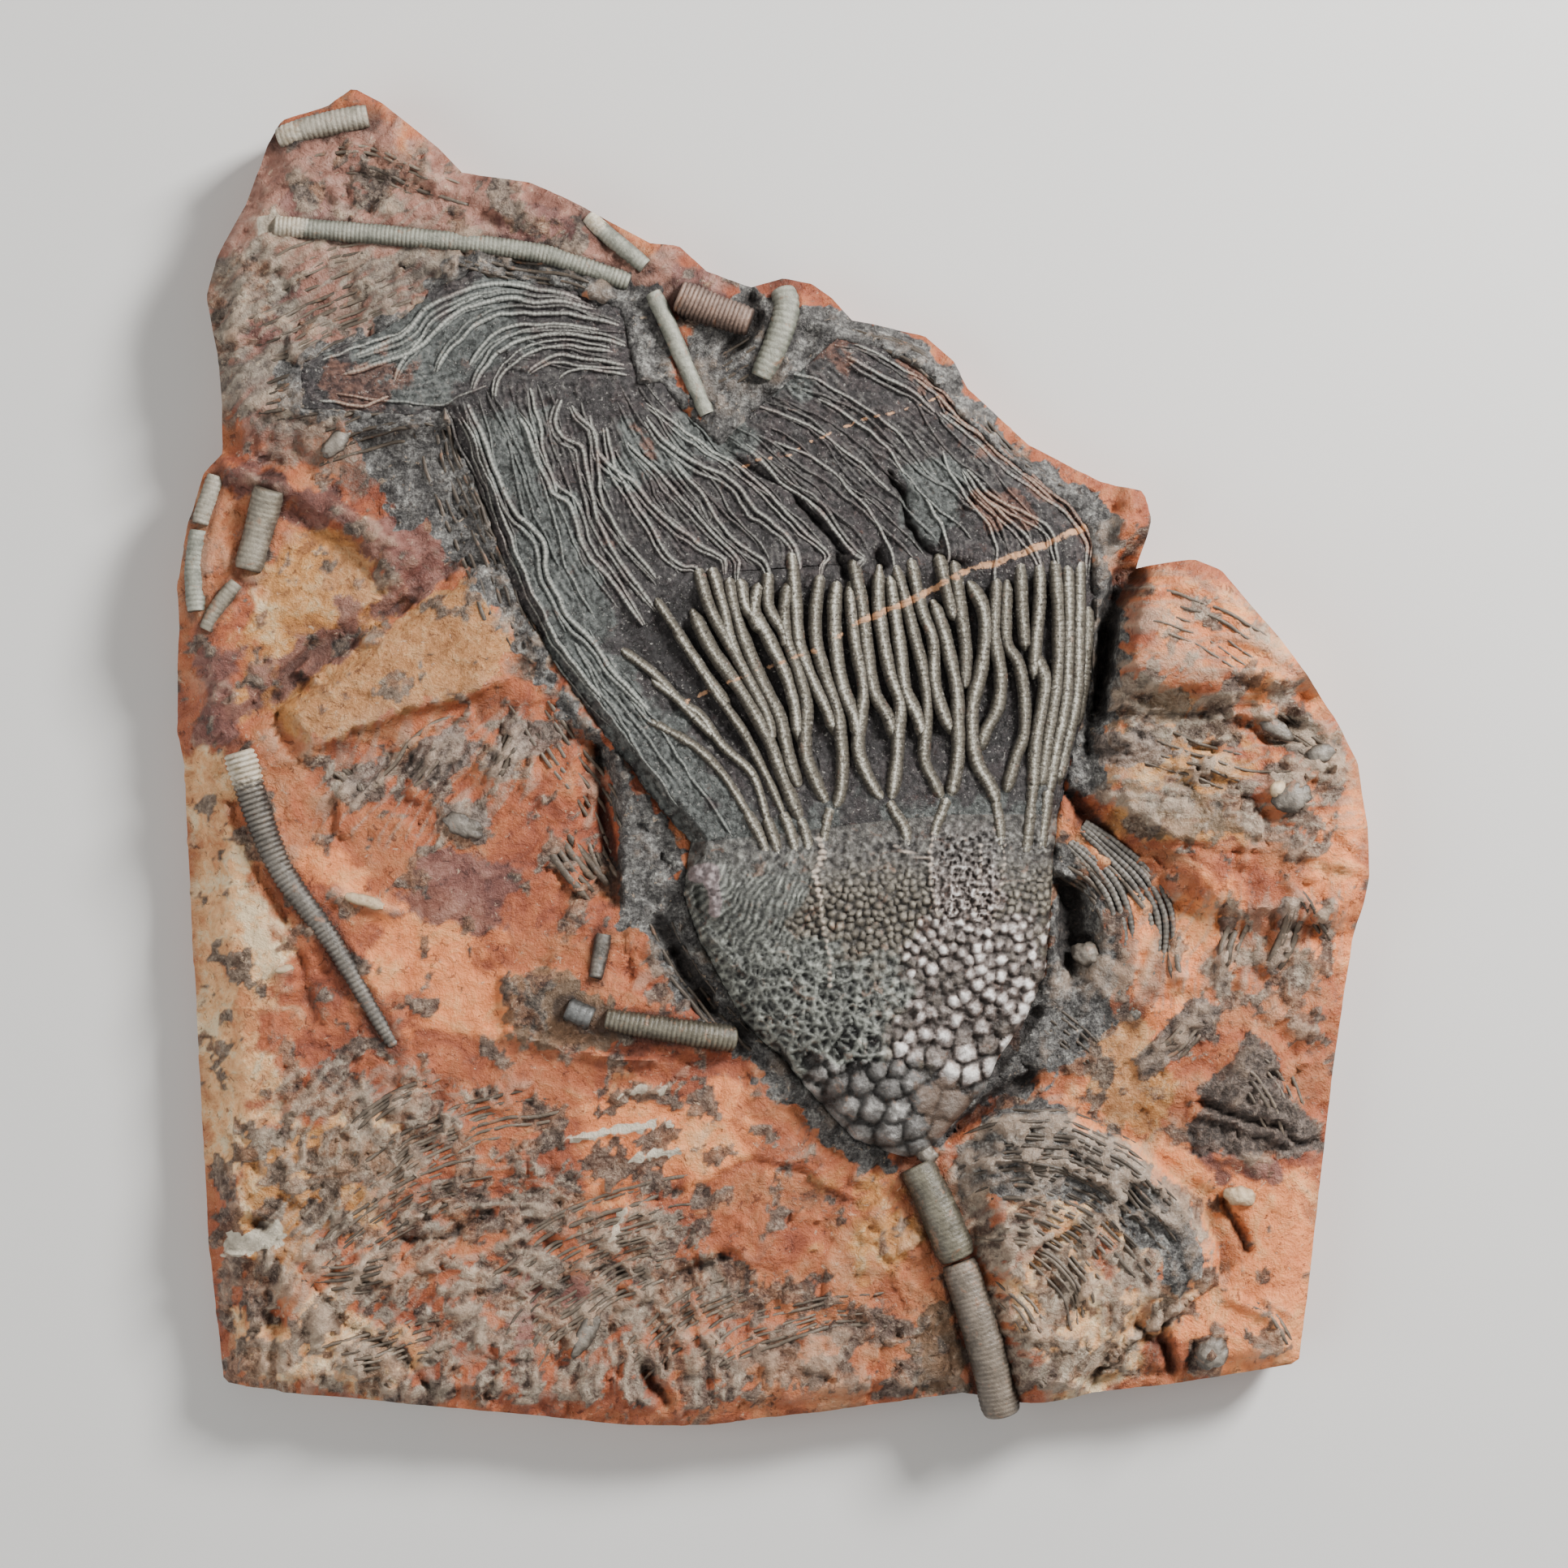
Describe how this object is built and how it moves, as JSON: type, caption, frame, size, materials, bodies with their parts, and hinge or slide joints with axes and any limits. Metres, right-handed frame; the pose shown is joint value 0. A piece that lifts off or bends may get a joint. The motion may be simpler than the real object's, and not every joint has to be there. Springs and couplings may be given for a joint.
{
  "type": "crinoid fossil",
  "caption": "Crinoid fossil plate: a broken slab of red limestone with a crinoid's cup, arms, feathery plume and stem standing in relief, and loose stem columns beside it.",
  "frame": {"origin": "middle of the slab's flat back, on the surface that it lies on", "axes": "+X to the right across the fossil's face, +Y up the face from the stem's end towards the plume, +Z out of the face"},
  "size_m": [0.21, 0.2354, 0.0227],
  "materials": {
    "red_limestone": "matte, rough",
    "calyx_calcite": "satin, polished on its bosses",
    "arm_calcite": "satin",
    "plume_calcite": "satin to matte",
    "pale_column_calcite": "satin",
    "dark_column_calcite": "satin"
  },
  "bodies": {
    "root": {"arms_centre": "arm_calcite", "arms_centre_left": "arm_calcite", "arms_centre_right": "arm_calcite", "arms_far_left": "arm_calcite", "arms_far_right": "arm_calcite", "arms_left": "arm_calcite", "arms_right": "arm_calcite", "calyx": "calyx_calcite", "column_below_crown": "dark_column_calcite", "column_broad_left": "dark_column_calcite", "column_diagonal_lower": "pale_column_calcite", "column_diagonal_upper": "pale_column_calcite", "column_edge_lower": "pale_column_calcite", "column_edge_upper": "pale_column_calcite", "column_long_left": "dark_column_calcite", "column_long_upper": "pale_column_calcite", "column_pale_green": "pale_column_calcite", "column_short_left": "dark_column_calcite", "column_stub": "dark_column_calcite", "column_thick_red": "dark_column_calcite", "column_top_edge": "pale_column_calcite", "column_upright": "dark_column_calcite", "fallen_arm_inner": "arm_calcite", "fallen_arm_outer": "arm_calcite", "matrix": "red_limestone", "plume_centre": "plume_calcite", "plume_far_left": "plume_calcite", "plume_left": "plume_calcite", "plume_right": "plume_calcite", "plume_swirl": "plume_calcite", "plume_top": "plume_calcite", "stem_lower": "dark_column_calcite", "stem_upper": "dark_column_calcite"}
  },
  "joints": []
}
